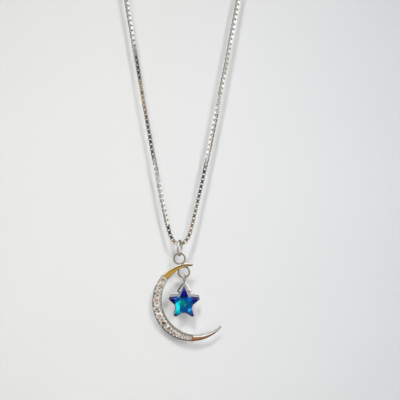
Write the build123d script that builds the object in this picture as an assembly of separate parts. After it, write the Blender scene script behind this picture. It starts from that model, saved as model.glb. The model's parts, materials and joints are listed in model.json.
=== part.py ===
from build123d import *
import os
from math import cos, degrees, dist, hypot, pi, radians, sin, sqrt, tan

# Moon and star necklace. Sizes are in millimetres and degrees, +Z is up, -Y is the front that shows.
# The origin is the underside of the clasp, at the top of the loop, where the necklace hangs.

# Box chain, drawn as a plain tube along its middle line
chain_diameter = 1.0
# Half of the loop from its lowest point, as half width and rise, the other half being its mirror image
half_route = [
    (2.2, 0.0),
    (4.25, 8.6),
    (7.9, 25.6),
    (13.9, 58.0),
    (24.4, 118.0),
    (29.8, 151.0),
    (32.1, 167.6),
    (30.7, 182.2),
    (24.2, 193.6),
    (13.5, 200.2),
]
# An arc at a corner takes this share of the shorter run beside it
arc_share = 0.45

# Clasp
clasp_diameter = 3.2
clasp_barrel = 6.0
clasp_edge = 0.6
socket_wall = 0.35
socket_depth = 1.2
socket_floor = 0.4

# Clearances: between hung wires, round a pin or a chain end, and round a set stone
hang_gap = 0.05
fit_gap = 0.05
stone_gap = 0.03

# Bail ring
ring_wire = 0.6
ring_hole = 3.5

# Crescent: widest band, and the turns of its lean and of its two cut tips, anticlockwise from +X
moon_radius = 10.9
moon_width = 2.62
moon_thickness = 1.8
moon_lean_angle = 14.9
horn_angle = 48.0
upper_tip_angle = 88.3
upper_tip_inset = 0.55
upper_tip_width = 0.5
outer_slant_angle = 8.0
inner_slant_angle = 12.5
lower_tip_angle = -37.7
tip_thickness = 1.5
edge_bevel = 0.28

# Loops soldered to the upper arm, one outside and one inside
loop_wire = 0.52
loop_hole = 2.55
outer_loop_angle = 106.1
inner_loop_angle = 104.9
solder_sink = 0.3
bail_aside = 0.2

# Row of stones in a sunk channel between two rims
stone_count = 12
row_start_angle = 141.5
rim = 0.25
channel_depth = 0.35
girdle_depth = 0.15
stone_spacing = 0.19

# Bail of the star
eye_wire = 0.5
eye_hole = 1.0
neck_wire = 0.55
apex_ball = 0.6
apex_drop = 1.5
leg_top_wire = 0.45
leg_foot_wire = 0.56
foot_ball = 0.62
leg_spread = 1.75
pin_drop = 4.05
pin_wire = 0.52
pin_reach = 1.3

# Crystal star
arms = 5
star_radius = 4.45
valley_radius = 2.5
tip_width = 0.55
star_front = 1.88
star_back = 2.08
bevel_depth = 0.55
pin_below_tip = 1.6

# Proportions of the cuts, as shares
table_share = 0.56
kite_share = 0.8
crown_share = 0.32
girdle_share = 0.05
pavilion_share = 0.86
seat_share = 0.7
bead_share = 0.25
tip_run_on_share = 0.3
star_table_share = 0.8
star_back_table_share = 0.3
valley_round_share = 0.35

# Places that follow from the sizes above
top_rise = half_route[-1][1]
chain_bottom = clasp_diameter / 2 - top_rise
ring_mid = (ring_hole + ring_wire) / 2
ring_centre = chain_bottom + chain_diameter / 2 + hang_gap + ring_wire / 2 - ring_mid
moon_hinge = ring_centre - ring_mid
loop_mid = (loop_hole + loop_wire) / 2
outer_loop_centre = moon_hinge + ring_wire / 2 + hang_gap + loop_wire / 2 - loop_mid


def on_circle(radius, turn):
    """Point at a turn in degrees, anticlockwise from +X, on a circle about the origin."""
    return radius * cos(radians(turn)), radius * sin(radians(turn))


def facing_front(x, z):
    """Frame at a point of the necklace's plane, its own x to the right, y up and z towards the viewer."""
    return Plane(origin=(x, 0, z), x_dir=(1, 0, 0), z_dir=(0, -1, 0)).location


loop_offset = on_circle(moon_radius + loop_mid, outer_loop_angle)
moon_x = -loop_offset[0]
moon_z = outer_loop_centre - loop_offset[1]
# The hollow circle meets the outer one at the horn angle and leaves the wanted width at the widest place
hollow_shift = (
    moon_width
    * (2 * moon_radius - moon_width)
    / (2 * (moon_radius * (1 + cos(radians(horn_angle))) - moon_width))
)
hollow_radius = moon_radius + hollow_shift - moon_width


def inner_edge(turn):
    """Distance from the outer circle's centre to the hollow's edge at a turn."""
    lag = radians(turn - moon_lean_angle)
    return hollow_shift * cos(lag) + sqrt(hollow_radius**2 - (hollow_shift * sin(lag)) ** 2)


inner_loop_reach = inner_edge(inner_loop_angle) - loop_mid + solder_sink
inner_loop_x, inner_loop_y = on_circle(inner_loop_reach, inner_loop_angle)
bail_x = moon_x + inner_loop_x + bail_aside
bail_hinge = moon_z + inner_loop_y - loop_mid
star_hinge = bail_hinge - pin_drop
star_z = star_hinge + pin_below_tip - star_radius


def chain_route():
    """Corner points of the whole loop, from the left socket floor round the bottom to the right one."""
    end = clasp_barrel / 2 + socket_floor + fit_gap
    right = [(x, rise) for x, rise in half_route] + [(end, top_rise)]
    left = [(-x, rise) for x, rise in reversed(right)]
    return [(x, 0, rise + chain_bottom) for x, rise in left + right]


def make_chain():
    """Tube of straight runs joined by tangent arcs, each arc as large as its two runs allow."""
    route = chain_route()
    runs = [dist(a, b) for a, b in zip(route, route[1:])]
    radii, cut = [], 0
    for before, corner, after in zip(route, route[1:], route[2:]):
        into = Vector(*corner) - Vector(*before)
        out = Vector(*after) - Vector(*corner)
        turn = into.get_angle(out)
        tangent = arc_share * min(into.length, out.length)
        radius = tangent / tan(radians(turn / 2))
        radii.append(radius)
        cut += 2 * tangent - radius * radians(turn)
    length = sum(runs) - cut
    path = FilletPolyline(*route, radius=radii)
    start = Plane(origin=path @ 0, z_dir=path % 0)
    tube = sweep(start * Circle(chain_diameter / 2), path=path)
    print("chain arc radii", [round(r, 2) for r in radii])
    section = pi * chain_diameter**2 / 4
    print("chain length", round(length, 2))
    print("chain volume over section times length", tube.volume / section / length)
    return tube


def make_clasp():
    """Barrel along X with a socket at each end that the chain ends sit in."""
    socket_radius = chain_diameter / 2 + fit_gap + socket_wall
    bore_radius = chain_diameter / 2 + fit_gap
    length = clasp_barrel + 2 * (socket_floor + socket_depth)
    barrel = Cylinder(clasp_diameter / 2, clasp_barrel)
    barrel = chamfer(barrel.edges().filter_by(GeomType.CIRCLE), clasp_edge)
    barrel += Cylinder(socket_radius, length)
    for end in (-1, 1):
        barrel -= Pos(0, 0, end * (length - socket_depth) / 2) * Cylinder(bore_radius, socket_depth)
    return Pos(0, 0, clasp_diameter / 2) * Rot(0, 90, 0) * barrel


def make_bail_ring():
    """Round ring in the plane of Y and Z."""
    return Pos(0, 0, ring_centre) * Rot(0, 90, 0) * Torus(ring_mid, ring_wire / 2)


def prism(corners, depth, plane=Plane.XY):
    """Straight prism of an outline, half its depth on each side of a plane."""
    outline = make_face(plane.offset(-depth / 2) * Polyline(*corners, close=True))
    return extrude(outline, amount=depth, dir=plane.z_dir)


def polyhedron(faces):
    """Solid bounded by flat faces, each given as its corner points in order."""
    return Solid(Shell([Face(Wire.make_polygon([Vector(*p) for p in face], close=True)) for face in faces]))


def make_stone(radius):
    """Round cut stone, girdle at height 0: eight-sided table, stars and kites, sixteen-sided girdle."""
    sides = 8
    step = 360 / sides
    table, crown = table_share * radius, crown_share * radius
    girdle, point = girdle_share * radius, (0, 0, -(girdle_share + pavilion_share) * radius)
    kite = kite_share * radius
    on_axis = kite * cos(radians(step / 2))
    kite_height = crown * (radius - on_axis) / (radius - table)
    under_height = -girdle - pavilion_share * (radius - on_axis)

    def ring(ring_radius, height, half_steps):
        return [
            (*on_circle(ring_radius, step * (i + half_steps / 2)), height) for i in range(sides)
        ]

    tables, kites, unders = ring(table, crown, 0), ring(kite, kite_height, 1), ring(kite, under_height, 1)
    mains, betweens = ring(radius, 0, 0), ring(radius, 0, 1)
    low_mains, low_betweens = ring(radius, -girdle, 0), ring(radius, -girdle, 1)
    faces = [tables]
    for i in range(sides):
        j = (i + 1) % sides
        faces += [
            [tables[i], kites[i], tables[j]],
            [tables[j], kites[i], mains[j], kites[j]],
            [kites[i], mains[i], betweens[i]],
            [kites[i], betweens[i], mains[j]],
            [mains[i], low_mains[i], low_betweens[i], betweens[i]],
            [betweens[i], low_betweens[i], low_mains[j], mains[j]],
            [low_mains[i], unders[i], low_betweens[i]],
            [low_betweens[i], unders[i], low_mains[j]],
            [low_mains[j], unders[i], point, unders[j]],
        ]
    return polyhedron(faces)


def stone_places():
    """Turn and radius of each stone: it fills the band between the rims, a spacing from the last one."""

    def stone_radius(turn):
        return (moon_radius - inner_edge(turn)) / 2 - rim

    places = []
    turn = row_start_angle
    for _ in range(stone_count):
        places.append((turn, stone_radius(turn)))
        middle = (moon_radius + inner_edge(turn)) / 2
        ahead = turn
        # The next stone is smaller the further on it lies, so its place is found in a few rounds
        for _ in range(6):
            reach = stone_radius(turn) + stone_spacing + stone_radius(ahead)
            ahead = turn + degrees(reach / middle)
        turn = ahead
    return places


def stone_centre(turn):
    """Middle of the band at a turn, from the outer circle's centre."""
    return on_circle((moon_radius + inner_edge(turn)) / 2, turn)


def make_crescent(row_end):
    """Bevelled disc less a flared hollow, thinned past the row's end and cut off at both tips."""
    disc = Cylinder(moon_radius, moon_thickness)
    disc = chamfer(disc.edges().filter_by(GeomType.CIRCLE), edge_bevel)
    hollow_x, hollow_y = on_circle(hollow_shift, moon_lean_angle)
    # A cone of 45 degrees across each face's level bevels the hollow's edge
    flare = Cone(hollow_radius - edge_bevel, hollow_radius + 3 * edge_bevel, 4 * edge_bevel)
    flare = Pos(0, 0, moon_thickness / 2) * flare
    hollow = Cylinder(hollow_radius, 2 * moon_thickness) + flare + mirror(flare, about=Plane.XY)
    crescent = disc - Pos(hollow_x, hollow_y, 0) * hollow
    half, tip_half = moon_thickness / 2, tip_thickness / 2
    reach = 2 * moon_radius
    taper_start = on_circle(moon_radius, row_end - moon_lean_angle)[0]
    upper_side = [(-reach, half), (taper_start, half), (moon_radius, tip_half)]
    lower_side = [(x, -z) for x, z in reversed(upper_side)]
    crescent &= Rot(0, 0, moon_lean_angle) * prism(upper_side + lower_side, 2 * reach, Plane.XZ)
    return crescent - tip_cutter()


def tip_cutter():
    """Prism over the crescent's open side: it narrows the upper tip to a blunt end and cuts off the lower one."""
    outer_turn, inner_turn = upper_tip_angle + outer_slant_angle, upper_tip_angle + inner_slant_angle
    tip_middle = moon_radius - upper_tip_inset
    tip_top = Vector(*on_circle(tip_middle + upper_tip_width / 2, upper_tip_angle))
    tip_foot = Vector(*on_circle(tip_middle - upper_tip_width / 2, upper_tip_angle))
    outer = Vector(*on_circle(moon_radius, outer_turn))
    inner = Vector(*on_circle(inner_edge(inner_turn), inner_turn))
    past_outer = outer + (outer - tip_top)
    past_inner = inner + (inner - tip_foot) * tip_run_on_share
    reach = 3 * moon_radius
    corners = [past_outer, tip_top, tip_foot, past_inner, (0, 0), on_circle(reach, lower_tip_angle)]
    return prism(corners + [(reach, reach), (past_outer.X, reach)], 2 * moon_thickness)


def channel(start, end):
    """Sunk bed of the stones between the two rims, over the turns of the whole row."""
    hollow_x, hollow_y = on_circle(hollow_shift, moon_lean_angle)
    bed = Cylinder(moon_radius - rim, channel_depth * 2)
    bed -= Pos(hollow_x, hollow_y, 0) * Cylinder(hollow_radius + rim, channel_depth * 3)
    reach = 2 * moon_radius
    spread = [start + (end - start) * share / 3 for share in range(4)]
    bed &= prism([(0, 0)] + [on_circle(reach, turn) for turn in spread], 4 * channel_depth)
    return Pos(0, 0, moon_thickness / 2) * bed


def seat(radius):
    """Cone under a stone's girdle that ends in a hole through the back."""
    drop = seat_share * pavilion_share * radius
    hole = (1 - seat_share) * radius + stone_gap
    cone = Pos(0, 0, -girdle_share * radius - drop / 2) * Cone(hole, radius + stone_gap, drop)
    return cone + Pos(0, 0, -moon_thickness) * Cylinder(hole, 2 * moon_thickness - 2 * drop)


def bead_places(first, second):
    """Centres and radius of the two bead prongs in the corners between two neighbouring stones."""
    (turn_a, radius_a), (turn_b, radius_b) = first, second
    bead = bead_share * (radius_a + radius_b) / 2
    ax, ay = stone_centre(turn_a)
    bx, by = stone_centre(turn_b)
    gap = hypot(bx - ax, by - ay)
    reach_a, reach_b = radius_a + bead + stone_gap, radius_b + bead + stone_gap
    along = (gap**2 + reach_a**2 - reach_b**2) / (2 * gap)
    aside = sqrt(reach_a**2 - along**2)
    ux, uy = (bx - ax) / gap, (by - ay) / gap
    x, y = ax + ux * along, ay + uy * along
    return [(x - side * uy * aside, y + side * ux * aside, bead) for side in (-1, 1)]


def make_moon(places):
    """Crescent with its channel, seats, bead prongs and both loops in one solid."""
    first_turn, first_radius = places[0]
    last_turn, last_radius = places[-1]
    end_room = [degrees((r + stone_spacing) / moon_radius) for r in (first_radius, last_radius)]
    moon = make_crescent(last_turn) - channel(first_turn - end_room[0], last_turn + end_room[1])
    girdle = moon_thickness / 2 - girdle_depth
    for turn, radius in places:
        x, y = stone_centre(turn)
        moon -= Pos(x, y, girdle) * seat(radius)
    floor = moon_thickness / 2 - channel_depth
    for first, second in zip(places, places[1:]):
        for x, y, bead in bead_places(first, second):
            height = channel_depth + bead
            prong = Cylinder(bead, height, align=(Align.CENTER, Align.CENTER, Align.MIN))
            prong = chamfer(prong.edges().filter_by(GeomType.CIRCLE).sort_by(Axis.Z)[-1], bead / 2)
            moon += Pos(x, y, floor - bead / 2) * prong
    loop = Torus(loop_mid, loop_wire / 2)
    moon += Pos(*loop_offset, 0) * loop
    moon += Pos(inner_loop_x, inner_loop_y, 0) * loop
    return facing_front(moon_x, moon_z) * moon


def rod(start, end, start_wire, end_wire):
    """Straight round bar between two points, tapered if its two diameters differ."""
    along = Vector(*end) - Vector(*start)
    place = Plane(origin=start, z_dir=along).location
    upright = (Align.CENTER, Align.CENTER, Align.MIN)
    if start_wire == end_wire:
        return place * Cylinder(start_wire / 2, along.length, align=upright)
    return place * Cone(start_wire / 2, end_wire / 2, along.length, align=upright)


def make_star_bail():
    """Eye on the inner loop, a neck, two legs either side of the star's top arm and a pin at each foot."""
    eye_mid = (eye_hole + eye_wire) / 2
    eye_centre = loop_wire / 2 + hang_gap + eye_wire / 2 - eye_mid
    apex = (0, -apex_drop, 0)
    bail = Pos(0, eye_centre, 0) * Rot(0, 90, 0) * Torus(eye_mid, eye_wire / 2)
    bail += rod((0, eye_centre - eye_mid, 0), apex, neck_wire, neck_wire)
    bail += Pos(*apex) * Sphere(apex_ball / 2)
    for side in (-1, 1):
        heel = (side * leg_spread, -pin_drop, 0)
        bail += rod(apex, heel, leg_top_wire, leg_foot_wire)
        bail += Pos(*heel) * Sphere(foot_ball / 2)
        bail += rod(heel, (side * (leg_spread - pin_reach), -pin_drop, 0), pin_wire, pin_wire)
    return facing_front(bail_x, bail_hinge) * bail


def star_outline(scale, height):
    """Corner points of a five-armed star with blunt tips and rounded valleys, at one height."""
    points = []
    half_tip = degrees(tip_width / 2 / star_radius)
    step = 360 / arms
    for arm in range(arms):
        tip_turn = 90 + step * arm
        points += [on_circle(star_radius * scale, tip_turn + side * half_tip) for side in (-1, 1)]
        valley_x, valley_y = on_circle(valley_radius * scale, tip_turn + step / 2)
        for turn in (tip_turn, tip_turn + step):
            tip_x, tip_y = on_circle(star_radius * scale, turn)
            cut = valley_round_share * valley_radius / star_radius
            points.append((valley_x + cut * (tip_x - valley_x), valley_y + cut * (tip_y - valley_y)))
    return [(x, y, height) for x, y in points]


def make_star():
    """Flat star table, a bevel, straight walls and back facets that run in to a small back table."""
    rings = [
        star_outline(star_table_share, star_front),
        star_outline(1, star_front - bevel_depth),
        star_outline(1, -star_back + bevel_depth),
        star_outline(star_back_table_share, -star_back),
    ]
    faces = [rings[0], rings[-1][::-1]]
    for upper, lower in zip(rings, rings[1:]):
        for i in range(len(upper)):
            j = (i + 1) % len(upper)
            faces.append([upper[i], lower[i], lower[j], upper[j]])
    star = polyhedron(faces)
    hole = Rot(0, 90, 0) * Cylinder(pin_wire / 2 + fit_gap, 2 * leg_spread)
    star -= Pos(0, star_radius - pin_below_tip, 0) * hole
    return facing_front(bail_x, star_z) * star


def main():
    """Write every piece to its own file."""
    places = stone_places()
    pieces = {
        "chain": make_chain(),
        "clasp": make_clasp(),
        "bail_ring": make_bail_ring(),
        "moon": make_moon(places),
        "star_bail": make_star_bail(),
        "star": make_star(),
    }
    girdle = moon_thickness / 2 - girdle_depth
    for number, (turn, radius) in enumerate(places, start=1):
        x, y = stone_centre(turn)
        stone = Pos(x, y, girdle) * Rot(0, 0, turn) * make_stone(radius)
        pieces[f"stone_{number:02d}"] = facing_front(moon_x, moon_z) * stone
    for name, piece in pieces.items():
        export_step(piece, f"parts/{name}.step")
    print("stones", [(round(turn, 1), round(2 * radius, 2)) for turn, radius in places])
    print("chain bottom", chain_bottom, "moon hinge", moon_hinge, "moon centre", moon_x, moon_z)
    print("bail hinge", bail_x, bail_hinge, "star hinge", star_hinge, "star centre", star_z)


os.makedirs("parts", exist_ok=True)
main()
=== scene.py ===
import json
import math

import bmesh
import bpy
import numpy as np
from mathutils import Matrix, Vector


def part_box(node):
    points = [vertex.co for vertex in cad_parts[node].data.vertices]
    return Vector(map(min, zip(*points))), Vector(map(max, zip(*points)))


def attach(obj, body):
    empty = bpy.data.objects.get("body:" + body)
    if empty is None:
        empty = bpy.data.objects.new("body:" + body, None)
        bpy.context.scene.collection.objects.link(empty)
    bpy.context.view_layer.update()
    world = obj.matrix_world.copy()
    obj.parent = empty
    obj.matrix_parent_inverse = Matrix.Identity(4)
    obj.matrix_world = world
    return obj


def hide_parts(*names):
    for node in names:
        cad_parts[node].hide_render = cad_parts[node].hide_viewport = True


# Moon and star necklace: a fine silver box chain, a crescent with a row of clear stones, a blue crystal star.
# Lengths of the necklace are in millimetres and are multiplied by MM, because the scene is in metres.
MM = 0.001

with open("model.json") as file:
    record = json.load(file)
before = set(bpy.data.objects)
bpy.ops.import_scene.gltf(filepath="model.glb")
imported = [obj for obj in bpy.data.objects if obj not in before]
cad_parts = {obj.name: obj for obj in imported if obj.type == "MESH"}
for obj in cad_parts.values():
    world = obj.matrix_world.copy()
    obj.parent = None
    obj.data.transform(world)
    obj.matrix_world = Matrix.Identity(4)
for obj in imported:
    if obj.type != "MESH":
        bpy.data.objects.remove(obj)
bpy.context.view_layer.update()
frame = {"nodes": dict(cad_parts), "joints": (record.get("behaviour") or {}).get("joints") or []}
hinge = {joint["name"]: np.array(joint["pos_m"]) for joint in frame["joints"]}
ring_hinge, moon_hinge = hinge["ring_swing"], hinge["moon_sway"]
bail_hinge, star_hinge = hinge["bail_swing"], hinge["star_tilt"]
UP, RIGHT, FRONT = np.array([0.0, 0, 1]), np.array([1.0, 0, 0]), np.array([0.0, -1, 0])

# Half of the chain's route from its lowest point, as half width and rise. The other half mirrors it.
HALF_ROUTE = [
    (2.2, 0.0),
    (4.25, 8.6),
    (7.9, 25.6),
    (13.9, 58.0),
    (24.4, 118.0),
    (29.8, 151.0),
    (32.1, 167.6),
    (30.7, 182.2),
    (24.2, 193.6),
    (13.5, 200.2),
    (3.45, 200.2),
]

# Box link: a wide thin strip bent round into a rounded square. Each link leans a little, by two slow waves.
LINK_PITCH = 0.7
LINK_WIDTH = 1.02
STRIP_THICKNESS = 0.15
STRIP_WIDTH = 0.68
STRIP_EDGE = 0.03
LINK_CORNER = 0.07
LINK_PLAY = 0.01
LINK_WOBBLE = 0.02
WOBBLE_WAVES = (1.9, 0.73)

# How far the chain is turned about its own line: mm from its lowest point, left being negative, and degrees
CHAIN_TWIST = [
    (-225, 130),
    (-70, 130),
    (-61, 122),
    (-56, 109),
    (-50, 99),
    (-46.5, 91),
    (-33, 90),
    (-28, 84),
    (-24, 68),
    (-21, 48),
    (-8, 35),
    (-5.5, 10),
    (0, 0),
    (21, 2),
    (26, 26),
    (36, 34),
    (43, 48),
    (50, 68),
    (54, 70),
    (62, 60),
    (225, 60),
]

# Crescent: two circles, a cut upper tip and a fine lower one
MOON_RADIUS = 10.9
MOON_WIDTH = 2.62
MOON_LEAN = 14.9
HORN_ANGLE = 48.0
UPPER_TIP = 88.3
UPPER_TIP_INSET = 0.55
UPPER_TIP_WIDTH = 0.5
OUTER_SLANT = 8.0
INNER_SLANT = 12.5
LOWER_TIP = 320.6
MOON_HALF = 0.9
TIP_HALF = 0.75

# Sections of the crescent: close ones from just past the upper tip to just past its slants, then wider ones
TIP_MARGIN = 0.05
TIP_SECTIONS = 40
SLANT_MARGIN = 2
ARM_SECTIONS = 300

# Crescent's edges: the back's bevel, the polished arms' chamfer and crown, and the rims and channel along the
# row. The shares are the most that an edge takes of a narrow arm's width.
BEVEL = 0.16
BEVEL_SHARE = 0.22
CHAMFER = 0.2
CHAMFER_SHARE = 0.2
CROWN = 0.015
CROWN_SHARE = 0.3
RIM = 0.25
RIM_SHARE = 0.45
RIM_SLOPE = 0.06
CHANNEL_DEPTH = 0.35
CHANNEL_END = 0.12

# Corners that soften these edges: in and down as shares of the bevel, both as one share of the chamfer, where
# the chamfer's flat begins, and along the row how much more the outer edge drops and stands in from the rim
BEVEL_IN = 0.3
BEVEL_DROP = 0.4
CHAMFER_MIDDLE = 0.5
CHAMFER_LIP = 1.1
ROW_DROP = 0.1
ROW_CORNER = 0.05
ROW_LIP_SHARE = 0.9

# Row of stones: margin in degrees past the end stones, and a seat under each, as shares of the stone's
# radius: how wide it is and how far above the girdle
ROW_MARGIN = 5.0
GIRDLE_DEPTH = 0.15
STONE_GAP = 0.03
SEAT_PROFILE = [(1.0, 0.5), (1.0, -0.05), (0.3, -0.65), (0.3, -2.5)]

# Bead prongs: size and distance from the row's middle as shares of the stones' radius, and the dome's profile
BEAD_SHARE = 0.28
BEAD_ASIDE = 0.64
BEAD_ROOT = 0.05
BEAD_DOME = 0.6
BEAD_LIFTS = (0, 25, 50, 72)

# Loops and rings
RING_WIRE = 0.6
RING_HOLE = 3.5
RING_TURN = 11.0
RING_POLISH = 0.04
LOOP_WIRE = 0.52
LOOP_HOLE = 2.55
HANGING_GAP = 0.05
STAR_LOOP_ASIDE = -0.2

# Star's bail. The neck and the upper end of a leg are placed from the bail's hinge, and what is near the
# crystal from the height of the star's hinge, each as mm out to one side and up.
EYE_WIRE = 0.5
EYE_HOLE = 1.0
EYE_TURN = 22.0
NECK_FOOT = -1.75
NECK_RADII = (0.27, 0.3)
LEG_WIDTH = 0.5
LEG_THICKNESS = 0.34
LEG_LEANS = (0, -32)
LEG_START = (0.0, -1.45)
LEG_BOW = (0.82, -2.1)
LEG_CORNER = (1.8, 0.25)
LEG_HEEL = (1.75, 0.0)
LEG_FOOT = (1.35, 0.0)
PIN_END = (0.45, 0.0)

# Crystal star: five arms, the first one upright
ARMS = 5
ARM_STEP = 360 // ARMS
FIRST_ARM = 90
STAR_RADIUS = 4.45
VALLEY_RADIUS = 2.5
TIP_WIDTH = 0.75
VALLEY_CUT = 0.35
STAR_FRONT = 1.88
STAR_BACK = 2.08
STAR_BEVEL = 0.55
FRONT_FALL = 0.04
TABLE_SHARE = 0.85
BROW_SHARE = 0.93
BROW_DROP = 0.4
WALL_BAND = 0.42
BACK_TABLE_SHARE = 0.3
PIN_BELOW_TIP = 1.6

# Corners of the star's cut front, as radius and, where they stand beside an arm, degrees from it
CORE_RADIUS = 0.95
CORE_IN_ARM = 0.8
MID_RADIUS = 1.5
MID_TURN = 30
RIDGE_RADIUS = 1.75
KITE_RADIUS = 2.6
KITE_TURN = 5.5


def linear(*rgb):
    """A colour given as shown on screen, 0 to 255, as the linear values that shaders take."""
    shown = np.array(rgb) / 255
    return tuple(np.where(shown <= 0.04045, shown / 12.92, ((shown + 0.055) / 1.055) ** 2.4))


def grid_quads(rows, columns, wrap_rows=False, wrap_columns=False):
    """Four-cornered faces of a grid of points, row by row. A wrapped side joins its last line and first."""
    r = np.arange(rows if wrap_rows else rows - 1)
    c = np.arange(columns if wrap_columns else columns - 1)
    r, c = np.meshgrid(r, c, indexing="ij")
    r2, c2 = (r + 1) % rows, (c + 1) % columns
    quads = [r * columns + c, r * columns + c2, r2 * columns + c2, r2 * columns + c]
    return np.stack(quads, -1).reshape(-1, 4)


def soften(mesh, angle):
    """Smooth shading, except across edges sharper than the angle in degrees."""
    mesh.shade_smooth()
    mesh.set_sharp_from_angle(angle=math.radians(angle))


def outward(mesh):
    """Turns every face of a closed mesh outwards."""
    work = bmesh.new()
    work.from_mesh(mesh)
    bmesh.ops.remove_doubles(work, verts=work.verts, dist=1e-7)
    bmesh.ops.recalc_face_normals(work, faces=work.faces)
    work.to_mesh(mesh)
    work.free()


def add_piece(name, points, faces, body, finish, slot):
    """Mesh piece from points in metres and faces, riding on a body."""
    mesh = bpy.data.meshes.new(name)
    mesh.from_pydata(np.asarray(points).reshape(-1, 3).tolist(), [], [list(map(int, f)) for f in faces])
    mesh.validate()
    mesh.materials.append(finish)
    piece = bpy.data.objects.new(name, mesh)
    bpy.context.scene.collection.objects.link(piece)
    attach(piece, body)
    return piece


def on_circle(radius, turn):
    """Points at turns in degrees, anticlockwise from +X, on circles about the origin."""
    turn = np.radians(turn)
    return np.stack([radius * np.cos(turn), radius * np.sin(turn)], -1)


def place(flat, depth, centre):
    """Points drawn in the necklace's plane, x right and y up, at depths towards the viewer, from a centre."""
    flat, depth = np.broadcast_arrays(flat, np.asarray(depth)[..., None])
    depth = depth[..., 0]
    return centre + MM * (flat[..., :1] * RIGHT + flat[..., 1:] * UP + depth[..., None] * FRONT)


def round_ring(centre, across, along, mid, wire, turns=64, sides=16):
    """Torus: a circle of the wire's radius carried round one of the middle radius, in two axes' plane."""
    u = np.linspace(0, 2 * math.pi, turns, endpoint=False)[:, None, None]
    v = np.linspace(0, 2 * math.pi, sides, endpoint=False)[None, :, None]
    out = np.cos(u) * across + np.sin(u) * along
    normal = np.cross(across, along)
    points = centre + MM * ((mid + wire * np.cos(v)) * out + wire * np.sin(v) * normal)
    return points.reshape(-1, 3), grid_quads(turns, sides, True, True)[:, ::-1]


def capped_tube(rings):
    """Tube over rings of points, each ring joined to the next, with both ends closed."""
    count, sides = rings.shape[:2]
    faces = [list(f) for f in grid_quads(count, sides, wrap_columns=True)]
    faces += [list(range(sides))[::-1], list(range((count - 1) * sides, count * sides))]
    return rings.reshape(-1, 3), faces


def beside(path, normal):
    """Directions square to both a path and a normal, one at each point of the path."""
    tangent = np.gradient(path, axis=0)
    tangent /= np.linalg.norm(tangent, axis=1, keepdims=True)
    return np.cross(normal, tangent)


def swept_wire(path, radii, normal, sides=14):
    """Round wire: circles of changing radius carried along a path in the plane square to the normal."""
    aside = beside(path, normal)
    v = np.linspace(0, 2 * math.pi, sides, endpoint=False)
    circle = np.cos(v)[None, :, None] * aside[:, None] + np.sin(v)[None, :, None] * normal
    return capped_tube(path[:, None] + radii[:, None, None] * circle)


def swept_strap(path, width, thickness, normal, lean, cut_share=0.2):
    """Flat strap: a rectangle with cut corners, leaned about the path by degrees and carried along it."""
    aside = beside(path, normal)
    turn = math.radians(lean)
    across = math.cos(turn) * aside + math.sin(turn) * normal
    face = math.cos(turn) * normal - math.sin(turn) * aside
    w, t, cut = width / 2, thickness / 2, cut_share * thickness
    half = [(w, t - cut), (w - cut, t), (cut - w, t), (-w, t - cut)]
    corners = half + [(-a, -b) for a, b in half]
    return capped_tube(np.stack([path + a * across + b * face for a, b in corners], 1))


def bowed(start, pull, end, count):
    """Points on a quadratic curve from start to end that bends towards a third point."""
    share = np.linspace(0, 1, count)[:, None]
    return (1 - share) ** 2 * start + 2 * share * (1 - share) * pull + share**2 * end


def joined(parts):
    """Several meshes, each as points and faces, as one."""
    points, faces, start = [], [], 0
    for part_points, part_faces in parts:
        points.append(np.asarray(part_points).reshape(-1, 3))
        faces += [[int(i) + start for i in face] for face in part_faces]
        start += len(points[-1])
    return np.concatenate(points), faces


# Finishes


class Nodes:
    """A node tree, with short ways to add nodes and join them. Each way but add gives a socket."""

    def __init__(self, tree):
        self.tree = tree
        self.join = tree.links.new

    def add(self, kind, **values):
        """New node, with settings or unlinked sockets by name."""
        node = self.tree.nodes.new(kind)
        for key, value in values.items():
            if hasattr(node, key):
                setattr(node, key, value)
            else:
                node.inputs[key.replace("_", " ").title()].default_value = value
        return node

    def noise(self, spot, **values):
        """Noise from 0 to 1 over a place."""
        node = self.add("ShaderNodeTexNoise", **values)
        self.join(spot, node.inputs["Vector"])
        return node.outputs["Fac"]

    def spread(self, value, to_min, to_max, from_min=0.0, from_max=1.0):
        """A value carried in proportion from one range to another."""
        ends = {"from_min": from_min, "from_max": from_max, "to_min": to_min, "to_max": to_max}
        node = self.add("ShaderNodeMapRange", **ends)
        self.join(value, node.inputs["Value"])
        return node.outputs["Result"]

    def ramp(self, value, stops, steps=False):
        """A value's colour, from stops that are each a place from 0 to 1 and a linear colour."""
        node = self.add("ShaderNodeValToRGB")
        if steps:
            node.color_ramp.interpolation = "CONSTANT"
        elements = node.color_ramp.elements
        while len(elements) < len(stops):
            elements.new(0.5)
        for element, (where, colour) in zip(elements, stops):
            element.position = where
            element.color = (*colour, 1)
        self.join(value, node.inputs["Fac"])
        return node.outputs["Color"]

    def part(self, vector, axis):
        """One of a vector's three values."""
        node = self.add("ShaderNodeSeparateXYZ")
        self.join(vector, node.inputs["Vector"])
        return node.outputs[axis]

    def vector(self, operation, *sockets, **values):
        """Sum, multiple or whole part of vectors."""
        node = self.add("ShaderNodeVectorMath", operation=operation, **values)
        for socket, slot in zip(sockets, node.inputs):
            self.join(socket, slot)
        return node.outputs["Vector"]

    def product(self, first, second):
        """Two colours multiplied."""
        node = self.add("ShaderNodeMix", data_type="RGBA", blend_type="MULTIPLY", factor=1.0)
        self.join(first, node.inputs[6])
        self.join(second, node.inputs[7])
        return node.outputs[2]

    def either(self, choice, first, second):
        """The first shader where the choice is 0 and the second where it is 1."""
        node = self.add("ShaderNodeMixShader")
        self.join(choice, node.inputs["Fac"])
        self.join(first, node.inputs[1])
        self.join(second, node.inputs[2])
        return node.outputs["Shader"]


def new_finish(name):
    """Node material, its shader and its tree."""
    finish = bpy.data.materials.new(name)
    finish.use_nodes = True
    return finish, finish.node_tree.nodes["Principled BSDF"], Nodes(finish.node_tree)


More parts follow.
